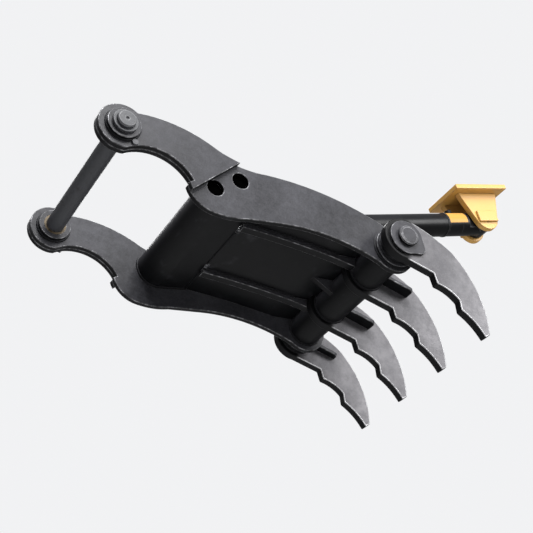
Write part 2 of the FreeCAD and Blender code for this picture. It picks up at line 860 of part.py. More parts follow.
shank_end = size("shank_end")
rod_start = shank_end - size("rod_socket_depth")
rod_socket = laid(revolved("rod_socket", tube_profile(rod_start, shank_end + 1, 0, size("rod_radius"))))
whole_rod_eye = eye("rod_eye_whole", 0, shank_end, size("shank_radius"), ROD_PIN_AT)
keep("rod_eye", cut("rod_eye", whole_rod_eye, rod_socket))
eye_bushing("rod_eye_bushing", ROD_PIN_AT)

# Stations along the cylinder, measured from the rod pin
gland_start = size("gland_start")
barrel_start = gland_start + size("gland_flange")
barrel_stop = cylinder_length - size("barrel_end")
plug_start = barrel_stop - size("plug_length")
nut_stop = plug_start - size("piston_end_gap")
piston_stop = nut_stop - size("rod_nut_width")
piston_start = piston_stop - size("piston_length")
rod_radius = size("rod_radius")
rod_neck = rod_radius - size("rod_neck_step")
piston_radius = size("bore_radius") - size("piston_clearance")

laid(turned("piston_rod", polygon([
    (rod_start, 0), (rod_start, rod_radius), (piston_start, rod_radius), (piston_start, rod_neck),
    (nut_stop, rod_neck), (nut_stop, 0)])))
seal_start = (piston_start + piston_stop - size("seal_width")) / 2
seal_stop = seal_start + size("seal_width")
seal_floor = piston_radius - size("seal_depth")
laid(turned("piston", polygon([
    (piston_start, rod_neck), (piston_start, piston_radius), (seal_start, piston_radius),
    (seal_start, seal_floor), (seal_stop, seal_floor), (seal_stop, piston_radius),
    (piston_stop, piston_radius), (piston_stop, rod_neck)])))
laid(turned("piston_seal", tube_profile(seal_start, seal_stop, seal_floor, piston_radius)))
laid(turned("rod_nut", tube_profile(piston_stop, nut_stop, rod_neck, size("rod_nut_radius"))))

# Barrel, plug with base eye, gland and its small pieces
bore = size("bore_radius")
rod_bore = rod_radius + size("running_gap")
spigot_stop = barrel_start + size("gland_spigot")
laid(turned("gland", polygon([
    (gland_start, rod_bore), (spigot_stop, rod_bore), (spigot_stop, bore), (barrel_start, bore),
    (barrel_start, size("gland_radius")), (gland_start, size("gland_radius"))])))
laid(turned("rod_wiper", tube_profile(gland_start - size("wiper_width"), gland_start, rod_bore,
                                      size("wiper_radius"))))
port_stations = {"base_port": cylinder_length - size("base_port_place"),
                 "gland_port": barrel_start + size("gland_port_place")}


def drum(name, station, low, high, radius):
    """Round bar that stands up from the line of the cylinder at a station."""
    bar = document.addObject("Part::Cylinder", name)
    bar.Radius = radius
    bar.Height = high - low
    foot = CYLINDER_TURN.multVec(FreeCAD.Vector(station, 0, low))
    bar.Placement = FreeCAD.Placement(FreeCAD.Vector(rod_pin[0], 0, rod_pin[1]) + foot, CYLINDER_TURN)
    return bar


tube_section = tube_profile(barrel_start, plug_start, bore, size("barrel_radius"))
tube_blank = laid(revolved("barrel_blank", tube_section))
passages = [drum(name + "_passage", station, 0, 2 * size("barrel_radius"), size("passage_radius"))
            for name, station in port_stations.items()]
keep("barrel_tube", cut("barrel_tube", tube_blank, fused("passages", *passages)))
band_middle = cylinder_length - size("band_place")
laid(turned("barrel_band", tube_profile(band_middle - size("band_width") / 2,
                                        band_middle + size("band_width") / 2, size("barrel_radius"),
                                        size("barrel_radius") + size("band_height"))))


def gland_bolt(index):
    """Hexagon bolt head on the face of the gland."""
    body = document.addObject("PartDesign::Body", f"gland_bolt_{index}")
    centre = polar(ORIGIN, size("gland_bolt_circle"), 30 + 60 * index)
    head = hexagon(centre, size("gland_bolt_radius"))
    sketch = sketch_in(body, "YZ_Plane", head, f"gland_bolt_{index}_outline")
    pad = body.newObject("PartDesign::Pad", f"gland_bolt_{index}_pad")
    pad.Profile = sketch
    pad.setExpression("Length", cell("gland_bolt_height"))
    face = gland_start - size("gland_bolt_height")
    body.Placement = FreeCAD.Placement(
        FreeCAD.Vector(rod_pin[0], 0, rod_pin[1]) + CYLINDER_TURN.multVec(FreeCAD.Vector(face, 0, 0)),
        CYLINDER_TURN)
    return body


grouped("gland_bolts", [gland_bolt(index) for index in range(6)])


def port(name, station):
    """Port boss on the tube with a blind seat for a hose end and a passage under it."""
    wall = size("barrel_radius")
    top = wall + size("port_height")
    boss = drum(name + "_boss", station, wall / 2, top, size("port_radius"))
    seat = drum(name + "_seat", station, top - size("port_depth"), top + 1, size("port_bore"))
    passage = drum(name + "_bore", station, wall / 2, top, size("passage_radius"))
    reach = 2 * size("port_radius")
    barrel = laid(revolved(name + "_wall", tube_profile(station - reach, station + reach, 0, wall)))
    return keep(name, cut(name, boss, fused(name + "_hollow", seat, passage, barrel)))


for port_name, port_station in port_stations.items():
    port(port_name, port_station)

# Base eye: round plug in the tube, flattened to the width of the eye
whole_plug = eye("base_eye_whole", plug_start, cylinder_length, size("barrel_radius"), BASE_PIN_AT)
trim = document.addObject("Part::Box", "base_eye_trim")
bind(trim, Length=f"4 * {cell('eye_radius')}", Width=EYE_WIDTH, Height=f"4 * {cell('eye_radius')}")
trim.Placement = FreeCAD.Placement(
    FreeCAD.Vector(base_pin[0], -size("eye_half_width"), base_pin[1])
    + CYLINDER_TURN.multVec(FreeCAD.Vector(-size("barrel_end"), 0, -2 * size("eye_radius"))), CYLINDER_TURN)
plug_round = laid(revolved("base_plug", tube_profile(plug_start, barrel_stop, 0, size("barrel_radius"))))
flat_eye = document.addObject("Part::Common", "base_eye_flat")
flat_eye.Base = whole_plug
flat_eye.Tool = trim
keep("base_eye", fused("base_eye", plug_round, flat_eye))
eye_bushing("base_eye_bushing", BASE_PIN_AT)

# Base pin in three lengths: the middle stays in the eye, the ends in the ears
MIDDLE_HALF = f"({cell('eye_half_width')} + {cell('eye_side_gap')} / 2)"
keep("base_pin_middle", cylinder("base_pin_middle", cell("cylinder_pin_radius"),
                                 f"2 * {MIDDLE_HALF} - {cell('face_gap')}",
                                 f"-{MIDDLE_HALF} + {cell('face_gap')} / 2", BASE_PIN_AT))
EAR_INNER = f"({cell('eye_half_width')} + {cell('eye_side_gap')})"
EAR_OUTER = f"({EAR_INNER} + {cell('ear_thickness')})"
PIN_END_INNER = f"({MIDDLE_HALF} + {cell('face_gap')} / 2)"
PIN_END_LENGTH = f"{EAR_OUTER} - {PIN_END_INNER}"
BRACKET_TURN = FreeCAD.Rotation(FreeCAD.Vector(0, -1, 0), size("bracket_angle"))


def bracket_plate(name, edges, thickness, start):
    """Plate drawn about the base pin and turned in line with the stick."""
    body = padded(name, edges, thickness, start)
    body.Placement.Rotation = BRACKET_TURN
    return bind(body, Placement_Base_x=BASE_PIN_AT[0], Placement_Base_z=BASE_PIN_AT[1])


def ear_outline():
    """Ear with a round eye that widens to its foot on the pad."""
    radius = size("ear_radius")
    foot = size("ear_foot") / 2
    top = size("bracket_height") - size("pad_thickness")
    start = (foot, top)
    lean = math.degrees(math.atan2(top, foot))
    touch = lean - math.degrees(math.acos(radius / math.hypot(foot, top)))
    right = polar(ORIGIN, radius, touch)
    left = (-right[0], right[1])
    return [
        line(start, (-foot, top)),
        line((-foot, top), left),
        arc(left, (0, -radius), right),
        line(right, start),
        circle(ORIGIN, size("cylinder_pin_radius")),
    ]


def block(half_length, low, high):
    """Rectangle about the line through the base pin."""
    return polygon([(-half_length, low), (half_length, low), (half_length, high), (-half_length, high)])


pad_low = size("bracket_height") - size("pad_thickness")
keep("base_pad", bracket_plate("base_pad", block(size("pad_length") / 2, pad_low, size("bracket_height")),
                               cell("pad_width"), f"-{cell('pad_width')} / 2"))
flag_block = block(size("base_flag_length") / 2, -size("cylinder_pin_radius"), size("cylinder_pin_radius"))
base_pin_flags = []
for side, sign in SIDES:
    keep(f"base_ear_{side}", bracket_plate(f"base_ear_{side}", ear_outline(), cell("ear_thickness"),
                                           side_start(sign, EAR_INNER, cell("ear_thickness"))))
    keep(f"base_pin_end_{side}", cylinder(f"base_pin_end_{side}", cell("cylinder_pin_radius"), PIN_END_LENGTH,
                                          side_start(sign, PIN_END_INNER, PIN_END_LENGTH), BASE_PIN_AT))
    base_pin_flags.append(bracket_plate(f"base_pin_flag_{side}", flag_block, cell("base_flag_width"),
                                        side_start(sign, EAR_OUTER, cell("base_flag_width"))))
grouped("base_pin_flags", base_pin_flags)

# Check every object and every piece before anything is written
document.recompute()
failed = [item.Label for item in document.Objects if "Invalid" in item.State or "Error" in item.State]
for name, piece in pieces.items():
    if piece.Shape.isNull() or not piece.Shape.isValid():
        failed.append(name)
if failed:
    raise ValueError(f"failed objects: {failed}")
for name, piece in pieces.items():
    piece.Shape.exportStep(f"parts/{name}.step")
print(len(pieces), "pieces,", sum(len(piece.Shape.Solids) for piece in pieces.values()), "solids")
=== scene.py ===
"""Looks of a hydraulic thumb: paint, wear, welds, rounded edges, light and camera.

Metres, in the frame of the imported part: the origin is the centre of the main
pin, X runs along the thumb to its tines, Y across it and Z towards the stick.
"""

import json
import logging
import math
from dataclasses import dataclass, field
from enum import Enum
from typing import Iterable, Sequence

import bmesh
import bpy
from mathutils import Matrix, Vector

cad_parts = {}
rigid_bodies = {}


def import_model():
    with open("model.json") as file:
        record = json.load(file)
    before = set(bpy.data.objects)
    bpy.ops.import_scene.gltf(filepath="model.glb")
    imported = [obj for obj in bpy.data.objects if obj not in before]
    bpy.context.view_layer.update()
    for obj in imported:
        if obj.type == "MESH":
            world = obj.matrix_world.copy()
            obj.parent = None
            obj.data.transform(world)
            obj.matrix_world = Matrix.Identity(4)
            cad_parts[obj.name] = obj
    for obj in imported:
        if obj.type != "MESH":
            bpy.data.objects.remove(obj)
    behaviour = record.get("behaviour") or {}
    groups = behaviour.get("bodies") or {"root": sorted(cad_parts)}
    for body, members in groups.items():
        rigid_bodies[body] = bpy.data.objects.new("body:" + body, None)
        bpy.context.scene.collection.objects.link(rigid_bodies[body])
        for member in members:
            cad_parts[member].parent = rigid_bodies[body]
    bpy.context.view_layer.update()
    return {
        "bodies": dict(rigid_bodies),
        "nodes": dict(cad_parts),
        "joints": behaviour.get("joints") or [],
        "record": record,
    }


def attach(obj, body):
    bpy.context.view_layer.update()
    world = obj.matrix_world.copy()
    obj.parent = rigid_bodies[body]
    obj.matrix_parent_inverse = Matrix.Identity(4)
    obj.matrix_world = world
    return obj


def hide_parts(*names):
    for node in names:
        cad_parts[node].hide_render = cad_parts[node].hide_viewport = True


logging.basicConfig(level=logging.INFO, format="%(name)s: %(message)s")
log = logging.getLogger("thumb")

Number = float | int
Colour = tuple[float, float, float]

# Colours that several finishes share
# Black paint as it looks in shade, darker than the paint itself: painted shade
SHADED_BLACK_PAINT: Colour = (0.0030, 0.0031, 0.0036)
DUST: Colour = (0.20, 0.175, 0.14)
CUT_STEEL: Colour = (0.50, 0.50, 0.51)
# Rubbed steel of worn edges, also used as a painted highlight along them
RUBBED_STEEL_AND_GLINT: Colour = (0.46, 0.46, 0.47)

# Angle of the cylinder above the X axis at rest
CYLINDER_TURN = math.radians(26.0583)

# Face attribute that marks the rounded edges
EDGE_LAYER = "edge"


# Shader building

class Shade:
    """A shader socket whose arithmetic adds Math nodes to its graph."""

    def __init__(self, graph: "Graph", socket: bpy.types.NodeSocket) -> None:
        """Wrap a socket of a graph.

        Args:
            graph: The graph that the socket belongs to.
            socket: The output socket.
        """
        self.graph = graph
        self.socket = socket

    def _math(self, operation: str, first: "Shade | Number", second: "Shade | Number") -> "Shade":
        """Add one Math node.

        Args:
            operation: The node's operation.
            first: Its first value.
            second: Its second value.

        Returns:
            The node's value.
        """
        return self.graph.node("ShaderNodeMath", {"operation": operation}, {0: first, 1: second})

    def __add__(self, other: "Shade | Number") -> "Shade":
        """Sum."""
        return self._math("ADD", self, other)

    def __radd__(self, other: Number) -> "Shade":
        """Sum with the number first."""
        return self._math("ADD", other, self)

    def __sub__(self, other: "Shade | Number") -> "Shade":
        """Difference."""
        return self._math("SUBTRACT", self, other)

    def __rsub__(self, other: Number) -> "Shade":
        """Difference with the number first."""
        return self._math("SUBTRACT", other, self)

    def __mul__(self, other: "Shade | Number") -> "Shade":
        """Product."""
        return self._math("MULTIPLY", self, other)

    def __rmul__(self, other: Number) -> "Shade":
        """Product with the number first."""
        return self._math("MULTIPLY", other, self)

    def between(self, low: Number, high: Number) -> "Shade":
        """Spread the value from 0 to 1 between two limits.

        Args:
            low: Value that becomes 0.
            high: Value that becomes 1.

        Returns:
            The spread and clamped value.
        """
        return self.graph.node("ShaderNodeMapRange", {"clamp": True, "interpolation_type": "SMOOTHSTEP"},
                               {"Value": self, "From Min": low, "From Max": high})


class Graph:
    """Nodes of a material or of the world, built from Python expressions."""

    def __init__(self, owner: bpy.types.Material | bpy.types.World) -> None:
        """Empty the tree of a material or a world.

        Args:
            owner: The material or world that the nodes belong to.
        """
        owner.use_nodes = True
        self.owner = owner
        self.tree = owner.node_tree
        self.tree.nodes.clear()
        self._place: Shade | None = None

    def add(self, kind: str, settings: dict | None = None, values: dict | None = None) -> bpy.types.Node:
        """Add any node.

        Args:
            kind: The node's type.
            settings: Its properties, set first.
            values: Values or links of its sockets, by name or index.

        Returns:
            The node.
        """
        made = self.tree.nodes.new(kind)
        for key, value in (settings or {}).items():
            setattr(made, key, value)
        for key, value in (values or {}).items():
            socket = made.inputs[key]
            if isinstance(value, Shade):
                self.tree.links.new(value.socket, socket)
            elif isinstance(value, tuple) and len(value) == 3 and socket.type == "RGBA":
                socket.default_value = (*value, 1.0)
            else:
                socket.default_value = value
        return made

    def node(self, kind: str, settings: dict | None = None, values: dict | None = None,
             output: int | str = 0) -> Shade:
        """Add any node and take one of its outputs.

        Args:
            kind: The node's type.
            settings: Its properties, set first.
            values: Values or links of its sockets, by name or index.
            output: The output to take, by name or index.

        Returns:
            The chosen output.
        """
        return Shade(self, self.add(kind, settings, values).outputs[output])

    def place(self) -> Shade:
        """Object coordinates, which the mesh keeps in metres."""
        if self._place is None:
            self._place = self.node("ShaderNodeTexCoord", output="Object")
        return self._place

    def stretched(self, scale: Sequence[float], turn: Sequence[float] = (0, 0, 0)) -> Shade:
        """Object coordinates turned and scaled by axis.

        Args:
            scale: Scale along each axis.
            turn: Turn about each axis, in radians.

        Returns:
            The mapped coordinates.
        """
        return self.node("ShaderNodeMapping", {"vector_type": "POINT"},
                         {"Vector": self.place(), "Scale": tuple(scale), "Rotation": tuple(turn)})

    def noise(self, scale: float, detail: float = 4.0, rough: float = 0.55,
              place: Shade | None = None) -> Shade:
        """Noise from 0 to 1 over the surface.

        Args:
            scale: Size of the noise, in features per metre.
            detail: Octaves.
            rough: Strength of the finer octaves.
            place: Coordinates, or object coordinates when left out.

        Returns:
            The noise value.
        """
        return self.node("ShaderNodeTexNoise", None, {"Vector": place or self.place(), "Scale": scale,
                                                      "Detail": detail, "Roughness": rough})

    def blend(self, share: Shade | Number, first: Shade | Colour, second: Shade | Colour) -> Shade:
        """Mix two colours.

        Args:
            share: Share of the second.
            first: The first colour.
            second: The second colour.

        Returns:
            The mixed colour.
        """
        return self.node("ShaderNodeMix", {"data_type": "RGBA"}, {0: share, 6: first, 7: second}, output=2)

    def edge(self) -> Shade:
        """One on the rounded edges of a dressed plate, and zero elsewhere."""
        return self.node("ShaderNodeAttribute",
                         {"attribute_type": "GEOMETRY", "attribute_name": EDGE_LAYER}, output="Fac")

    def upward(self) -> Shade:
        """How far the surface faces up, from -1 to 1."""
        normal = self.node("ShaderNodeNewGeometry", output="Normal")
        return self.node("ShaderNodeSeparateXYZ", None, {0: normal}, "Z")

    def sideways(self) -> Shade:
        """How far the surface faces left or right, from 0 to 1."""
        normal = self.node("ShaderNodeNewGeometry", output="Normal")
        across = self.node("ShaderNodeSeparateXYZ", None, {0: normal}, "Y")
        return self.node("ShaderNodeMath", {"operation": "ABSOLUTE"}, {0: across})

    def bump(self, height: Shade, strength: float, distance: float) -> Shade:
        """Normal bent by a height.

        Args:
            height: The height value.
            strength: Strength of the bump.
            distance: Height in metres of a value of one.

        Returns:
            The bent normal.
        """
        return self.node("ShaderNodeBump", None,
                         {"Height": height, "Strength": strength, "Distance": distance})

    def finish(self, values: dict) -> bpy.types.Material:
        """Close the material with a Principled shader.

        Args:
            values: Values of its sockets: links, or numbers set on the socket itself.

        Returns:
            The finished material.
        """
        shader = self.node("ShaderNodeBsdfPrincipled", None, values)
        self.add("ShaderNodeOutputMaterial", None, {"Surface": shader})
        return self.owner


# Finishes

@dataclass(frozen=True)
class SatinPaint:
    """Sprayed satin paint that has worn through along its edges, with painted light on faces turned sideways
    or up and painted shade on faces turned down.

    Attributes:
        name: The material's name.
        colour: Paint colour, kept on faces turned down, where it also serves as painted shade.
        faded_and_lit: Colour on faces turned sideways or up, which stands for sun fading and for painted
            light.
        bare_and_glint: Metal that shows at the worn edges, also laid thinly along every rounded edge, which
            on dark paint is a painted highlight.
        rough: Roughness of the sound paint.
        wear: How much of an edge is worn, from 0 to 1.
        gloss: Specular level of the paint.
    """

    name: str
    colour: Colour
    faded_and_lit: Colour
    bare_and_glint: Colour = (0.26, 0.26, 0.27)
    rough: float = 0.40
    wear: float = 0.5
    gloss: float = 0.09

    def material(self) -> bpy.types.Material:
        """Build the paint."""
        graph = Graph(bpy.data.materials.new(self.name))
        clouds = graph.noise(3.2, 5.0)
        streaks = graph.noise(9.0, 6.0, 0.6, graph.stretched((1.0, 1.0, 6.0)))
        grain = graph.noise(420.0, 2.0)
        scuffs = graph.noise(34.0, 9.0, 0.72)
        chips = graph.edge() * scuffs.between(0.60 - 0.26 * self.wear, 0.72 - 0.2 * self.wear)
        rubbed = graph.edge() * 0.5 + chips * 0.5
        # Painted light and shade, with some sun fading: faces turned down keep the dark paint colour, faces
        # turned sideways or up take the lighter one.
        sunned_and_lit = graph.upward().between(-0.6, 0.3)
        mottle = scuffs.between(0.30, 0.72) * 0.34 + graph.noise(150.0, 3.0, 0.7).between(0.3, 0.7) * 0.22
        dulled = clouds.between(0.32, 0.68) * 0.34 + mottle + 0.22
        paint = graph.blend(sunned_and_lit * dulled, self.colour, self.faded_and_lit)
        paint = graph.blend(streaks.between(0.58, 0.78) * 0.22, paint, self.faded_and_lit)
        settled = graph.upward().between(0.55, 0.98) * scuffs.between(0.4, 0.75)
        paint = graph.blend(settled * 0.07, paint, DUST)
        # A thin band of unpainted metal along every rounded edge: partly wear, partly painted highlight.
        colour = graph.blend(graph.edge() * scuffs.between(0.25, 0.65) * 0.28, paint, self.bare_and_glint)
        colour = graph.blend(chips * 0.5, colour, self.bare_and_glint)
        rough = (clouds - 0.5) * 0.26 + (streaks - 0.5) * 0.18 + self.rough - rubbed * 0.06
        height = grain * 0.3 + clouds * 0.4 - chips * 0.5
        return graph.finish({"Specular IOR Level": self.gloss, "Base Color": colour, "Roughness": rough,
                             "Metallic": chips * 0.55, "Normal": graph.bump(height, 0.22, 0.0008)})


@dataclass(frozen=True)
class WornTine:
    """Grey steel of a tine, polished where it grips and dull near its root.

    Attributes:
        name: The material's name.
        light: Colour of the rubbed steel.
        dull: Colour of the older surface.
        root: Where along X its black root paint ends.
        point: Where along X its point is.
    """

    name: str
    light: Colour
    dull: Colour
    root: float
    point: float

    def material(self) -> bpy.types.Material:
        """Build the steel."""
        graph = Graph(bpy.data.materials.new(self.name))
        reach = graph.node("ShaderNodeSeparateXYZ", None, {0: graph.place()}, "X")
        along = reach.between(self.root, self.point)
        clouds = graph.noise(7.0, 6.0, 0.6)
        scuffs = graph.noise(34.0, 8.0, 0.7)
        bared = (reach + (clouds - 0.5) * 0.05).between(self.root - 0.012, self.root + 0.012)
        bared = bared * (graph.sideways() + (scuffs - 0.5) * 0.3).between(0.42, 0.62)
        brush = graph.noise(70.0, 6.0, 0.65, graph.stretched((0.22, 1.0, 1.0), (0.0, -0.75, 0.0)))
        pits = graph.noise(230.0, 3.0, 0.6).between(0.62, 0.74)
        edge = graph.edge() * scuffs.between(0.30, 0.55)
        steel = graph.blend((clouds.between(0.3, 0.75) * 0.6 + along * 0.4), self.dull, self.light)
        steel = graph.blend(brush.between(0.45, 0.8) * 0.30, steel, self.light)
        steel = graph.blend(scuffs.between(0.40, 0.68) * 0.55, steel, self.dull)
        steel = graph.blend(graph.noise(150.0, 3.0, 0.7).between(0.45, 0.65) * 0.22, steel, self.light)
        steel = graph.blend(pits * 0.5, steel, self.dull)
        # Rubbed steel along the rounded edges: partly wear, partly painted highlight.
        steel = graph.blend(edge * 0.75, steel, RUBBED_STEEL_AND_GLINT)
        # The black root and rims take black paint as it looks in shade, a painted shade.
        colour = graph.blend(bared, SHADED_BLACK_PAINT, steel)
        rough = 0.50 - along * 0.06 + (brush - 0.5) * 0.2 - edge * 0.1
        height = brush * 0.5 + clouds * 0.5 - pits * 0.6
        return graph.finish({"Specular IOR Level": 0.1, "Base Color": colour, "Roughness": rough,
                             "Metallic": bared * (along * 0.1 + edge * 0.3 + 0.2),
                             "Normal": graph.bump(height, 0.3, 0.0009)})


@dataclass(frozen=True)
class TurnedSteel:
    """Machined steel with fine rings of the turning tool and a film of grease.

    Attributes:
        name: The material's name.
        colour: Steel colour.
        stain: Colour of grease and rust.
        rough: Roughness.
        metal: How metallic it is.
    """

    name: str
    colour: Colour
    stain: Colour
    rough: float
    metal: float

    def material(self) -> bpy.types.Material:
        """Build the steel."""
        graph = Graph(bpy.data.materials.new(self.name))
        lines = graph.noise(30.0, 5.0, 0.7, graph.stretched((0.6, 22.0, 0.6)))
        stains = graph.noise(24.0, 6.0, 0.65).between(0.5, 0.72)
        colour = graph.blend(stains * 0.55, self.colour, self.stain)
        colour = graph.blend(graph.edge() * 0.12, colour, CUT_STEEL)
        rough = (lines - 0.5) * 0.22 + self.rough + stains * 0.18
        return graph.finish({"Specular IOR Level": 0.3, "Base Color": colour, "Roughness": rough,
                             "Metallic": self.metal - stains * 0.35,
                             "Normal": graph.bump(lines, 0.10, 0.0005)})


@dataclass(frozen=True)
class HardChrome:
    """Polished chrome of a rod with faint draw lines and a film of oil.

    Attributes:
        name: The material's name.
        turn: Angle of the rod above the X axis, in radians.
        colour: Colour of the chrome.
        oiled: Colour under the film.
    """

    name: str
    turn: float
    colour: Colour
    oiled: Colour

    def material(self) -> bpy.types.Material:
        """Build the chrome."""
        graph = Graph(bpy.data.materials.new(self.name))
        lines = graph.noise(140.0, 3.0, 0.6, graph.stretched((0.03, 1.0, 1.0), (0.0, self.turn, 0.0)))
        film = graph.noise(11.0, 4.0).between(0.45, 0.75)
        colour = graph.blend(film * 0.25, self.colour, self.oiled)
        return graph.finish({"Base Color": colour, "Roughness": lines * 0.10 + film * 0.10 + 0.12,
                             "Metallic": 1.0 - film * 0.04})


@dataclass(frozen=True)
class MattBlack:
    """Matt black surface, used for seals and for the painted shade in the side plates' pockets.

    Attributes:
        name: The material's name.
        colour: Its colour.
        dusty: Colour of the dust on it; in the painted shade of a pocket, a faint mottle.
        gloss: Specular level.
    """

    name: str
    colour: Colour
    dusty: Colour
    gloss: float

    def material(self) -> bpy.types.Material:
        """Build the surface."""
        graph = Graph(bpy.data.materials.new(self.name))
        dust = graph.noise(55.0, 4.0)
        colour = graph.blend(dust.between(0.5, 0.8) * 0.4, self.colour, self.dusty)
        return graph.finish({"Specular IOR Level": self.gloss, "Base Color": colour,
                             "Roughness": dust * 0.2 + 0.62, "Normal": graph.bump(dust, 0.2, 0.0004)})


class Finish(Enum):
    """The named finishes of the thumb."""

    # THUMB, WELD and BARREL keep black paint as it looks in shade on faces turned down, as painted shade.
    THUMB = SatinPaint("thumb_black_paint", SHADED_BLACK_PAINT, (0.0560, 0.0560, 0.0635))
    WELD = SatinPaint("painted_weld", SHADED_BLACK_PAINT, (0.0420, 0.0425, 0.0480), rough=0.48, wear=0.3)
    TINE = WornTine("tine_grey_steel", (0.122, 0.119, 0.125), (0.050, 0.049, 0.053), root=1.300, point=1.70)
    BARREL = SatinPaint("barrel_black_paint", SHADED_BLACK_PAINT, (0.0080, 0.0082, 0.0100), rough=0.36, wear=0.2,
                        gloss=0.12)
    BRACKET = SatinPaint("bracket_yellow_paint", (0.46, 0.25, 0.058), (0.43, 0.255, 0.080),
                         bare_and_glint=(0.20, 0.15, 0.10), rough=0.36, wear=0.45, gloss=0.32)
    PATCH = SatinPaint("plain_yellow_patch", (0.40, 0.205, 0.042), (0.36, 0.195, 0.05), rough=0.34, wear=0.1)
    PIN = TurnedSteel("pin_dark_steel", (0.026, 0.027, 0.031), (0.016, 0.015, 0.015), rough=0.48, metal=0.10)
    STEEL = TurnedSteel("machined_steel", (0.36, 0.36, 0.37), (0.10, 0.08, 0.055), rough=0.36, metal=0.90)
    BRONZE = TurnedSteel("bushing_bronze", (0.070, 0.052, 0.030), (0.018, 0.015, 0.011), rough=0.55,
                         metal=0.35)
    CHROME = HardChrome("rod_chrome", CYLINDER_TURN, (0.78, 0.79, 0.81), (0.52, 0.52, 0.50))
    RUBBER = MattBlack("seal_rubber", (0.012, 0.012, 0.012), (0.06, 0.055, 0.05), gloss=0.5)
    # Painted shade: a near-black matt colour for the pockets, where there is only shade.
    SOOT = MattBlack("old_grease", (0.0004, 0.0004, 0.0004), (0.0016, 0.0015, 0.0014), gloss=0.0)


class Paintbox:
    """Builds each finish once and hands it out."""

    def __init__(self) -> None:
        """Start with no material built."""
        self._made: dict[Finish, bpy.types.Material] = {}

    def __call__(self, finish: Finish) -> bpy.types.Material:
        """Return the material of a finish.

        Args:
            finish: The finish wanted.

        Returns:
            Its material.
        """
        if finish not in self._made:
            self._made[finish] = finish.value.material()
        return self._made[finish]


# Mesh building

class Rounding(Enum):
    """How far the edges of a plate or a turned piece are rounded, in metres."""

    PLATE = 0.0035
    TINE = 0.005
    TURNED = 0.0025
    FINE = 0.0015


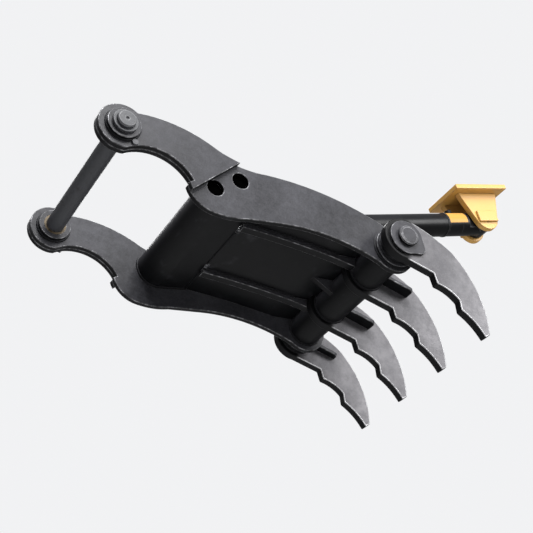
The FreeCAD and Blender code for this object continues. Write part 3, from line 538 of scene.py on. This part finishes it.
class Workshop:
    """Makes, places and dresses the pieces of the scene.

    Attributes:
        MERGE: Distance in metres below which two points are one.
        FLAT: Angle in radians below which two faces are one.
        CRISP: Angle in radians above which an edge is rounded.
        SEGMENTS: Faces across each rounded edge.
        BEAD_SIDES: Sides of a weld bead's section.
        RING_STEPS: Sections of a bead round a circle.
        RING_RIPPLE: Spacing in metres of the ripples of a bead round a circle.
        RUN_STEP: Spacing in metres of the sections of a bead along a run.
    """

    MERGE = 2e-6
    FLAT = math.radians(0.08)
    CRISP = math.radians(28)
    SEGMENTS = 3
    BEAD_SIDES = 8
    RING_STEPS = 96
    RING_RIPPLE = 0.007
    RUN_STEP = 0.0045

    def __init__(self, frame: dict) -> None:
        """Keep the frame and open the paint.
        """
        self.frame = frame
        self.paint = Paintbox()
        self.pieces: list[bpy.types.Object] = []
        record = frame["record"]
        self.slots = {part["node"]: part["material_slot"] for part in record["subparts"]}
        self.homes = {node: body for body, nodes in record["behaviour"]["bodies"].items() for node in nodes}

    def coat(self, nodes: Iterable[str], finish: Finish) -> None:
        """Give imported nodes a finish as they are.

        Args:
            nodes: Names of the nodes.
            finish: Their finish.
        """
        for node in nodes:
            mesh = self.frame["nodes"][node].data
            mesh.materials.clear()
            mesh.materials.append(self.paint(finish))

    def place(self, name: str, shape: bmesh.types.BMesh, body: str, finish: Finish, slot: str,
              smooth: float = 35.0) -> bpy.types.Object:
        """Turn a finished shape into an object that rides on a body.

        Args:
            name: Name of the object.
            shape: Its shape, which is freed.
            body: Body that carries it.
            finish: Its finish.
            slot: Material slot of the record; not used.
            smooth: Angle in degrees above which an edge stays sharp.

        Returns:
            The object.
        """
        mesh = bpy.data.meshes.new(name)
        for face in shape.faces:
            face.smooth = True
        shape.to_mesh(mesh)
        shape.free()
        mesh.set_sharp_from_angle(angle=math.radians(smooth))
        mesh.materials.append(self.paint(finish))
        piece = bpy.data.objects.new(name, mesh)
        bpy.context.scene.collection.objects.link(piece)
        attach(piece, body)
        self.pieces.append(piece)
        return piece

    def round_over(self, node: str, rounding: Rounding, finish: Finish) -> bpy.types.Object:
        """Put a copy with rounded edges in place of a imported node.

        Args:
            node: Name of the node.
            rounding: How far its edges are rounded.
            finish: Its finish.

        Returns:
            The copy.
        """
        shape = bmesh.new()
        shape.from_mesh(self.frame["nodes"][node].data)
        bmesh.ops.remove_doubles(shape, verts=shape.verts[:], dist=self.MERGE)
        bmesh.ops.dissolve_limit(shape, angle_limit=self.FLAT, use_dissolve_boundaries=False,
                                 verts=shape.verts[:], edges=shape.edges[:])
        crisp = [edge for edge in shape.edges
                 if len(edge.link_faces) == 2 and edge.calc_face_angle(0.0) > self.CRISP]
        layer = shape.faces.layers.float.new(EDGE_LAYER)
        flat = set(shape.faces)
        made = bmesh.ops.bevel(shape, geom=crisp, offset=rounding.value, offset_type="OFFSET", affect="EDGES",
                               segments=self.SEGMENTS, profile=0.5, material=-1, clamp_overlap=True,
                               loop_slide=True, harden_normals=False)
        for face in made["faces"]:
            if face.is_valid and face not in flat:
                face[layer] = 1.0
        bmesh.ops.recalc_face_normals(shape, faces=shape.faces[:])
        piece = self.place(f"{node}_dressed", shape, self.homes[node], finish, self.slots[node], 50.0)
        weigh = piece.modifiers.new("weigh", "WEIGHTED_NORMAL")
        weigh.keep_sharp = True
        weigh.weight = 100
        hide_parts(node)
        return piece

    def bead_ring(self, name: str, centre: Vector, radius: float, bead: float) -> bpy.types.Object:
        """Lay a rippled weld bead round a circle about a line across the thumb.

        Args:
            name: Name of the bead.
            centre: Centre of the circle.
            radius: Radius of the circle.
            bead: Half thickness of the bead.

        Returns:
            The bead.
        """
        axis = Vector((0, 1, 0))
        out = axis.orthogonal().normalized()
        shape = bmesh.new()
        start = centre + out * radius
        turn = out.cross(axis).to_track_quat("Z", "Y").to_matrix().to_4x4()
        bmesh.ops.create_circle(shape, segments=self.BEAD_SIDES, radius=bead,
                                matrix=Matrix.Translation(start) @ turn)
        bmesh.ops.spin(shape, geom=shape.verts[:] + shape.edges[:], cent=centre, axis=axis, dvec=(0, 0, 0),
                       angle=2 * math.pi, steps=self.RING_STEPS, use_merge=True, use_duplicate=False)
        bmesh.ops.remove_doubles(shape, verts=shape.verts[:], dist=self.MERGE)
        count = round(2 * math.pi * radius / self.RING_RIPPLE)
        side = axis.cross(out)
        for vert in shape.verts:
            arm = vert.co - centre
            angle = math.atan2(arm.dot(side), arm.dot(out))
            middle = centre + (out * math.cos(angle) + side * math.sin(angle)) * radius
            swell = 0.90 + 0.14 * abs(math.sin(angle * count / 2)) + 0.06 * math.sin(angle * 5.0)
            vert.co = middle + (vert.co - middle) * swell
        bmesh.ops.recalc_face_normals(shape, faces=shape.faces[:])
        return self.place(name, shape, "thumb", Finish.WELD, "thumb_paint", 80.0)

    def bead_run(self, name: str, points: Sequence[Vector], bead: float) -> bpy.types.Object:
        """Lay a rippled weld bead along a run of points.

        Args:
            name: Name of the bead.
            points: Where it runs.
            bead: Half thickness of the bead.

        Returns:
            The bead.
        """
        line: list[Vector] = []
        for start, end in zip(points, points[1:]):
            parts = max(1, round((end - start).length / self.RUN_STEP))
            line += [start.lerp(end, step / parts) for step in range(parts)]
        line.append(points[-1])
        shape = bmesh.new()
        ahead = (line[1] - line[0]).normalized()
        turn = ahead.to_track_quat("Z", "Y").to_matrix().to_4x4()
        made = bmesh.ops.create_circle(shape, segments=self.BEAD_SIDES, radius=bead, cap_ends=True,
                                       matrix=Matrix.Translation(line[0]) @ turn)
        verts = made["verts"]
        edges = [edge for edge in shape.edges if all(vert in verts for vert in edge.verts)]
        swell = 1.0
        for index, (start, end) in enumerate(zip(line, line[1:])):
            grown = bmesh.ops.extrude_edge_only(shape, edges=edges)["geom"]
            verts = [item for item in grown if isinstance(item, bmesh.types.BMVert)]
            edges = [item for item in grown if isinstance(item, bmesh.types.BMEdge)]
            bmesh.ops.translate(shape, verts=verts, vec=end - start)
            new_ahead = (end - start).normalized()
            bmesh.ops.rotate(shape, verts=verts, cent=end,
                             matrix=ahead.rotation_difference(new_ahead).to_matrix())
            wanted = 0.90 + 0.16 * abs(math.sin(index * 2.1)) + 0.05 * math.sin(index * 0.37)
            for vert in verts:
                vert.co = end + (vert.co - end) * (wanted / swell)
            swell = wanted
            ahead = new_ahead
        bmesh.ops.contextual_create(shape, geom=edges)
        bmesh.ops.recalc_face_normals(shape, faces=shape.faces[:])
        return self.place(name, shape, "thumb", Finish.WELD, "thumb_paint", 80.0)


# Sub-assemblies

class Side(Enum):
    """A side of the thumb and its sign along Y."""

    LEFT = -1
    RIGHT = 1

    def name_of(self, part: str) -> str:
        """Name of a part on this side."""
        return f"{part}_{self.name.lower()}"


# How far a weld's middle lies beside the plate that it joins, and off the face that it lies on
BESIDE = 0.002
PROUD = 0.001


@dataclass
class SidePlates:
    """The two arched side plates with their neck doublers.

    Attributes:
        pockets: Centres of the round pockets, along X and Z.
        pocket_radius: Radius of their cups of painted shade.
        pocket_floor: Distance of a cup's floor from the mid-plane.
        pocket_rim: Distance of its rim from the mid-plane.
        shadow_lining_wall: Wall thickness of a cup of painted shade.
    """

    pockets: tuple[tuple[float, float], ...] = ((0.536, -0.006), (0.434, -0.092))
    pocket_radius: float = 0.0366
    pocket_floor: float = 0.3752
    pocket_rim: float = 0.3925
    shadow_lining_wall: float = 0.0008

    def build(self, shop: Workshop) -> None:
        """Dress the plates and fill their pockets with painted shade.

        Args:
            shop: The workshop.
        """
        for part in ("side_plate", "neck_doubler"):
            for side in Side:
                shop.round_over(side.name_of(part), Rounding.PLATE, Finish.THUMB)
        for side in Side:
            for index, (x, z) in enumerate(self.pockets):
                self.shadow_lining(shop, f"{side.name_of('pocket_lining')}_{index}", Vector((x, 0, z)), side)

    def shadow_lining(self, shop: Workshop, name: str, centre: Vector, side: Side) -> bpy.types.Object:
        """Fill a round pocket with a black cup of painted shade, standing in for the shade deep inside it.

        Args:
            shop: The workshop.
            name: Name of the lining.
            centre: Centre of the pocket in the mid-plane.
            side: Side of the thumb.

        Returns:
            The cup of painted shade.
        """
        depth = self.pocket_rim - self.pocket_floor
        out = Vector((0, side.value, 0))
        turn = Matrix.Translation(centre + out * (self.pocket_floor + depth / 2))
        turn = turn @ out.to_track_quat("Z", "X").to_matrix().to_4x4()
        shape = bmesh.new()
        bmesh.ops.create_cone(shape, cap_ends=True, segments=64, radius1=self.pocket_radius,
                              radius2=self.pocket_radius, depth=depth, matrix=turn)
        shape.normal_update()
        mouth = [face for face in shape.faces if face.normal.dot(out) > 0.9]
        bmesh.ops.inset_region(shape, faces=mouth, thickness=self.shadow_lining_wall)
        bmesh.ops.translate(shape, verts=mouth[0].verts[:], vec=out * (self.shadow_lining_wall - depth))
        return shop.place(name, shape, "thumb", Finish.SOOT, "thumb_paint", 30.0)


@dataclass
class Hubs:
    """Hub bosses with their bushings, the main pin and its collars.

    Attributes:
        boss_radius: Outer radius of a boss.
        plate_inside: Distance of a side plate's inner face from the mid-plane.
        doubler_outside: Distance of a doubler's outer face from the mid-plane.
        bead: Half thickness of the welds.
    """

    boss_radius: float = 0.072
    plate_inside: float = 0.370
    doubler_outside: float = 0.420
    bead: float = 0.0055

    def build(self, shop: Workshop) -> None:
        """Dress the hubs and weld them to their plates.

        Args:
            shop: The workshop.
        """
        shop.round_over("main_pin", Rounding.TURNED, Finish.PIN)
        welds = (("inner", self.plate_inside - BESIDE), ("outer", self.doubler_outside + BESIDE))
        for side in Side:
            shop.round_over(side.name_of("hub_boss"), Rounding.TURNED, Finish.THUMB)
            shop.round_over(side.name_of("main_pin_collar"), Rounding.TURNED, Finish.PIN)
            for place, reach in welds:
                shop.bead_ring(side.name_of(f"hub_weld_{place}"), Vector((0, side.value * reach, 0)),
                               self.boss_radius + PROUD, self.bead)
        shop.coat(("hub_bushing_left", "hub_bushing_right"), Finish.BRONZE)
        shop.coat(("keeper_bolts",), Finish.PIN)


@dataclass
class Spine:
    """Rolled nose, belly, webs, wear bars and lugs between the side plates.

    Attributes:
        nodes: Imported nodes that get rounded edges.
        nose: Centre of the nose's roll, along X and Z.
        nose_radius: Outer radius of the roll.
        roll_start: Angle in degrees where the roll starts.
        roll_end: Angle in degrees where it meets the flat of the belly.
        fold: Where the nose plate meets the belly, along X and Z.
        belly_middle: Middle of the arch of the belly's underside, along X and Z.
        belly_end: End of that arch.
        bar_inside: Distance of a wear bar's inner side from the mid-plane.
        bar_outside: Distance of its outer side.
        web_inside: Distance of a web's inner side from the mid-plane.
        web_outside: Distance of its outer side.
        skin: Thickness of the belly plate.
        fold_runs: Stretches of the fold's welds across the thumb, clear of the two slots.
        plate_inside: Distance of a side plate's inner face from the mid-plane.
        bead: Half thickness of the welds.
    """

    nodes: tuple[str, ...] = ("nose_skin", "belly_skin", "web_left", "web_right", "wear_bar_left",
                              "wear_bar_right", "centre_rib", "rod_lug_left", "rod_lug_right")
    nose: tuple[float, float] = (0.500, -0.010)
    nose_radius: float = 0.092
    roll_start: float = 168.0
    roll_end: float = 286.3
    fold: tuple[float, float] = (0.650, -0.054)
    belly_middle: tuple[float, float] = (0.870, -0.030)
    belly_end: tuple[float, float] = (1.100, -0.018)
    bar_inside: float = 0.176
    bar_outside: float = 0.216
    web_inside: float = 0.176
    web_outside: float = 0.201
    skin: float = 0.012
    fold_runs: tuple[tuple[float, float], ...] = ((-0.366, -0.203), (-0.134, 0.134), (0.203, 0.366))
    plate_inside: float = 0.370
    bead: float = 0.005

    def build(self, shop: Workshop) -> None:
        """Dress the spine and weld its plates.

        Args:
            shop: The workshop.
        """
        for node in self.nodes:
            shop.round_over(node, Rounding.PLATE, Finish.THUMB)
        bars = (("inner", self.bar_inside - BESIDE), ("outer", self.bar_outside + BESIDE))
        webs = (("inner", self.web_inside - BESIDE), ("outer", self.web_outside + BESIDE))
        for side in Side:
            line = self.nose_line(side.value * (self.plate_inside - BESIDE - PROUD))
            shop.bead_run(side.name_of("nose_weld"), line, self.bead)
            for place, reach in bars:
                line = self.belly_line(side.value * reach)
                shop.bead_run(side.name_of(f"bar_weld_{place}"), line, self.bead)
            for place, reach in webs:
                line = [point + Vector((0, 0, self.skin + PROUD))
                        for point in self.belly_line(side.value * reach)[1:]]
                shop.bead_run(side.name_of(f"web_weld_{place}"), line, self.bead)
        x, z = self.fold
        for face, height in (("under", z - PROUD), ("over", z + self.skin + PROUD)):
            for part, (start, stop) in enumerate(self.fold_runs):
                line = [Vector((x, y, height)) for y in (start, (start + stop) / 2, stop)]
                shop.bead_run(f"fold_weld_{face}_{part}", line, self.bead)

    def belly_line(self, y: float) -> list[Vector]:
        """Line along the underside of the belly skin.

        Args:
            y: Where the line lies across the thumb.

        Returns:
            Points of the line.
        """
        start, middle, end = (Vector((x, y, z - PROUD))
                              for x, z in (self.fold, self.belly_middle, self.belly_end))
        parts = 16
        return [start.lerp(end, share) + Vector((0, 0, self.belly_rise(share, start, middle, end)))
                for share in (step / parts for step in range(parts + 1))]

    @staticmethod
    def belly_rise(share: float, start: Vector, middle: Vector, end: Vector) -> float:
        """Height of the belly's arch above its chord.

        Args:
            share: Share of the way along the chord.
            start: Start of the arch.
            middle: Middle of the arch.
            end: End of the arch.

        Returns:
            The height in metres.
        """
        place = (middle.x - start.x) / (end.x - start.x)
        crown = middle.z - (start.z + (end.z - start.z) * place)
        return crown * share * (1 - share) / (place * (1 - place))

    def nose_line(self, y: float) -> list[Vector]:
        """Line round the outside of the rolled nose.

        Args:
            y: Where the line lies across the thumb.

        Returns:
            Points of the line.
        """
        radius = self.nose_radius + BESIDE
        parts = 24
        turns = [math.radians(self.roll_start + (self.roll_end - self.roll_start) * step / parts)
                 for step in range(parts + 1)]
        roll = [Vector((self.nose[0] + radius * math.cos(turn), y, self.nose[1] + radius * math.sin(turn)))
                for turn in turns]
        return roll + [Vector((self.fold[0], y, self.fold[1] - BESIDE))]


@dataclass
class Tip:
    """Cross tube with its collars, pin, flags and heads.

    Attributes:
        centre: Middle of the tube.
        tube_radius: Outer radius of the tube.
        collar_radius: Outer radius of the collars.
        plate_inside: Distance of a side plate's inner face from the mid-plane.
        plate_outside: Distance of its outer face.
        collar_outside: Distance of a collar's outer face.
        outer_tine_inside: Distance of an outer tine's inner face.
        inner_tine: Distance of an inner tine's middle.
        half_tine: Half the thickness of a tine.
        bead: Half thickness of the welds.
    """

    centre: Vector = field(default_factory=lambda: Vector((1.272, 0, -0.027)))
    tube_radius: float = 0.078
    collar_radius: float = 0.092
    plate_inside: float = 0.370
    plate_outside: float = 0.395
    collar_outside: float = 0.413
    outer_tine_inside: float = 0.452
    inner_tine: float = 0.156
    half_tine: float = 0.020
    bead: float = 0.005

    def build(self, shop: Workshop) -> None:
        """Dress the tube and weld what stands on it.

        Args:
            shop: The workshop.
        """
        shop.round_over("cross_tube", Rounding.TURNED, Finish.THUMB)
        welds = ((self.plate_inside - BESIDE, self.tube_radius),
                 (self.plate_outside + BESIDE, self.collar_radius),
                 (self.collar_outside + BESIDE, self.tube_radius),
                 (self.outer_tine_inside - BESIDE - PROUD, self.tube_radius),
                 (self.inner_tine + self.half_tine + BESIDE, self.tube_radius),
                 (self.inner_tine - self.half_tine - BESIDE, self.tube_radius))
        for side in Side:
            for part in ("tip_collar", "tip_flag", "tip_pin_head"):
                shop.round_over(side.name_of(part), Rounding.TURNED, Finish.THUMB)
            for index, (reach, radius) in enumerate(welds):
                shop.bead_ring(f"{side.name_of('tube_weld')}_{index}",
                               self.centre + Vector((0, side.value * reach, 0)), radius + PROUD, self.bead)
        shop.coat(("tip_pin",), Finish.PIN)
        shop.coat(("tip_bush_left", "tip_bush_right"), Finish.BRONZE)


@dataclass
class Tines:
    """Hooked tines and their gussets.

    Attributes:
        count: How many tines there are.
    """

    count: int = 4

    def build(self, shop: Workshop) -> None:
        """Dress the tines.

        Args:
            shop: The workshop.
        """
        for number in range(1, self.count + 1):
            shop.round_over(f"tine_{number}", Rounding.TINE, Finish.TINE)
        shop.round_over("tine_gussets", Rounding.PLATE, Finish.THUMB)


@dataclass
class Ram:
    """Hydraulic cylinder: rod with its eye, barrel with gland, band and ports.

    Attributes:
        rod_pin: Middle of the pin of the rod's eye.
        barrel_radius: Outer radius of the barrel.
        patch_start: Where along the cylinder the yellow patch starts.
        patch_end: Where it ends.
        patch_low: Angle in degrees from the barrel's top where it starts.
        patch_high: Angle in degrees where it ends.
        patch_lift: How far it lies off the barrel.
        patch_steps: Faces of the patch.
    """

    rod_pin: Vector = field(default_factory=lambda: Vector((0.536, 0, -0.006)))
    barrel_radius: float = 0.057
    patch_start: float = 1.391
    patch_end: float = 1.505
    patch_low: float = 10.0
    patch_high: float = 108.0
    patch_lift: float = 0.0006
    patch_steps: int = 24

    def build(self, shop: Workshop) -> None:
        """Dress the cylinder.

        Args:
            shop: The workshop.
        """
        for node in ("rod_pin", "rod_pin_retainer"):
            shop.round_over(node, Rounding.FINE, Finish.PIN)
        for node in ("rod_eye", "gland", "barrel_band", "base_eye", "base_port", "gland_port"):
            shop.round_over(node, Rounding.FINE, Finish.BARREL)
        shop.coat(("barrel_tube",), Finish.BARREL)
        shop.coat(("piston_rod",), Finish.CHROME)
        shop.coat(("rod_wiper", "piston_seal"), Finish.RUBBER)
        shop.coat(("gland_bolts", "piston", "rod_nut", "base_pin_middle"), Finish.STEEL)
        shop.coat(("rod_eye_bushing", "base_eye_bushing"), Finish.BRONZE)
        self.patch(shop)

    def patch(self, shop: Workshop) -> bpy.types.Object:
        """Wrap a plain yellow patch part of the way round the barrel.

        Args:
            shop: The workshop.

        Returns:
            The patch.
        """
        along = Vector((math.cos(CYLINDER_TURN), 0, math.sin(CYLINDER_TURN)))
        up = Vector((-math.sin(CYLINDER_TURN), 0, math.cos(CYLINDER_TURN)))
        shape = bmesh.new()
        low, high = math.radians(self.patch_low), math.radians(self.patch_high)
        radius = self.barrel_radius + self.patch_lift
        out = up * math.cos(low) - Vector((0, 1, 0)) * math.sin(low)
        ends = [shape.verts.new(self.rod_pin + along * station + out * radius)
                for station in (self.patch_start, self.patch_end)]
        edge = shape.edges.new(ends)
        bmesh.ops.spin(shape, geom=ends + [edge], cent=self.rod_pin, axis=along, dvec=(0, 0, 0),
                       angle=high - low, steps=self.patch_steps, use_merge=False, use_duplicate=False)
        if shape.faces[:][0].normal.dot(out) < 0:
            bmesh.ops.reverse_faces(shape, faces=shape.faces[:])
        return shop.place("barrel_patch", shape, "barrel", Finish.PATCH, "bracket_paint")


@dataclass
class StickBracket:
    """Pad, ears and pin ends under the stick.

    Attributes:
        nodes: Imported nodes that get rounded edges.
    """

    nodes: tuple[str, ...] = ("base_pad", "base_ear_left", "base_ear_right", "base_pin_flags")

    def build(self, shop: Workshop) -> None:
        """Dress the bracket.

        Args:
            shop: The workshop.
        """
        for node in self.nodes:
            shop.round_over(node, Rounding.PLATE, Finish.BRACKET)
        shop.coat(("base_pin_end_left", "base_pin_end_right"), Finish.PIN)


# Studio

@dataclass(frozen=True)
class Lamp:
    """A soft round lamp.

    Attributes:
        name: Its name.
        place: Where it hangs.
        size: Width of its face.
        power: Its power in watts.
    """

    name: str
    place: tuple[float, float, float]
    size: float
    power: float


@dataclass
class Studio:
    """Pale floor, soft light and the camera at the photograph's viewpoint.

    Attributes:
        stand: Where the camera stands.
        aim: Point that it looks at.
        up: Direction that is up in the picture.
        lens: Focal length in millimetres.
        floor_height: Height of the floor.
        floor_size: Half the width of the floor.
        sky_colour: Colour of the sky.
        sky_light: Strength of the sky's light on the thumb.
        sky_seen: Strength of the sky behind it.
        lit: Point that the lamps face.
        lamps: The lamps.
    """

    stand: Vector = field(default_factory=lambda: Vector((-0.9281, -4.0699, -3.3166)))
    aim: Vector = field(default_factory=lambda: Vector((0.9273, 0.1222, 0.0451)))
    up: Vector = field(default_factory=lambda: Vector((-0.3537, -0.4849, 0.7999)))
    lens: float = 85.4
    floor_height: float = -4.2
    floor_size: float = 30.0
    sky_colour: Colour = (0.98, 0.985, 1.0)
    sky_light: float = 0.38
    sky_seen: float = 0.9
    lit: Vector = field(default_factory=lambda: Vector((0.9, 0, 0.1)))
    lamps: tuple[Lamp, ...] = (Lamp("key", (-2.0, -4.4, 5.2), 4.0, 860.0),
                               Lamp("sheen", (0.6, -5.0, 4.2), 2.4, 420.0),
                               Lamp("fill", (4.8, -4.8, 2.8), 3.4, 460.0),
                               Lamp("back", (1.5, 5.5, 4.5), 4.5, 420.0))

    def build(self) -> None:
        """Set the floor, the sky, the lamps and the camera."""
        self.floor()
        self.sky()
        for lamp in self.lamps:
            self.hang(lamp)
        self.camera()

    def floor(self) -> None:
        """Lay the pale floor."""
        shape = bmesh.new()
        bmesh.ops.create_grid(shape, x_segments=1, y_segments=1, size=self.floor_size,
                              matrix=Matrix.Translation((0, 0, self.floor_height)))
        mesh = bpy.data.meshes.new("floor")
        shape.to_mesh(mesh)
        shape.free()
        floor = bpy.data.objects.new("floor", mesh)
        bpy.context.scene.collection.objects.link(floor)
        graph = Graph(bpy.data.materials.new("pale_floor"))
        mottle = graph.noise(0.6, 3.0)
        colour = graph.blend(mottle * 0.3, (0.66, 0.66, 0.66), (0.61, 0.61, 0.61))
        mesh.materials.append(graph.finish({"Roughness": 0.8, "Base Color": colour}))

    def sky(self) -> None:
        """Hang a pale backdrop that sheds an even, weaker light on the thumb."""
        scene = bpy.context.scene
        scene.world = bpy.data.worlds.new("studio")
        scene.view_settings.view_transform = "Standard"
        graph = Graph(scene.world)
        seen = graph.node("ShaderNodeLightPath", output="Is Camera Ray")
        strength = graph.node("ShaderNodeMapRange", None,
                              {"Value": seen, "To Min": self.sky_light, "To Max": self.sky_seen})
        sky = graph.node("ShaderNodeBackground", None, {"Color": self.sky_colour, "Strength": strength})
        graph.add("ShaderNodeOutputWorld", None, {"Surface": sky})

    def hang(self, lamp: Lamp) -> None:
        """Hang a lamp so that it faces the thumb.

        Args:
            lamp: The lamp.
        """
        light = bpy.data.lights.new(lamp.name, "AREA")
        light.shape = "DISK"
        light.size = lamp.size
        light.energy = lamp.power
        hung = bpy.data.objects.new(lamp.name, light)
        turn = (self.lit - Vector(lamp.place)).to_track_quat("-Z", "Y").to_matrix().to_4x4()
        hung.matrix_world = Matrix.Translation(lamp.place) @ turn
        bpy.context.scene.collection.objects.link(hung)

    def camera(self) -> None:
        """Stand the camera where the photograph was taken, with the thumb in the middle."""
        lens = bpy.data.cameras.new("camera")
        lens.sensor_width = 36.0
        lens.sensor_fit = "HORIZONTAL"
        lens.lens = self.lens
        lens.clip_end = 100.0
        camera = bpy.data.objects.new("camera", lens)
        bpy.context.scene.collection.objects.link(camera)
        back = (self.stand - self.aim).normalized()
        right = self.up.cross(back).normalized()
        turn = Matrix((right, back.cross(right), back)).transposed().to_4x4()
        camera.matrix_world = Matrix.Translation(self.stand) @ turn
        bpy.context.scene.camera = camera


def main() -> None:
    """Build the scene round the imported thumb."""
    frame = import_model()
    shop = Workshop(frame)
    for assembly in (SidePlates(), Hubs(), Spine(), Tip(), Tines(), Ram(), StickBracket()):
        before = len(shop.pieces)
        assembly.build(shop)
        for piece in shop.pieces[before:]:
            log.info("%s: %s, %d faces", type(assembly).__name__, piece.name, len(piece.data.polygons))
    Studio().build()


if __name__ == "__main__":
    main()
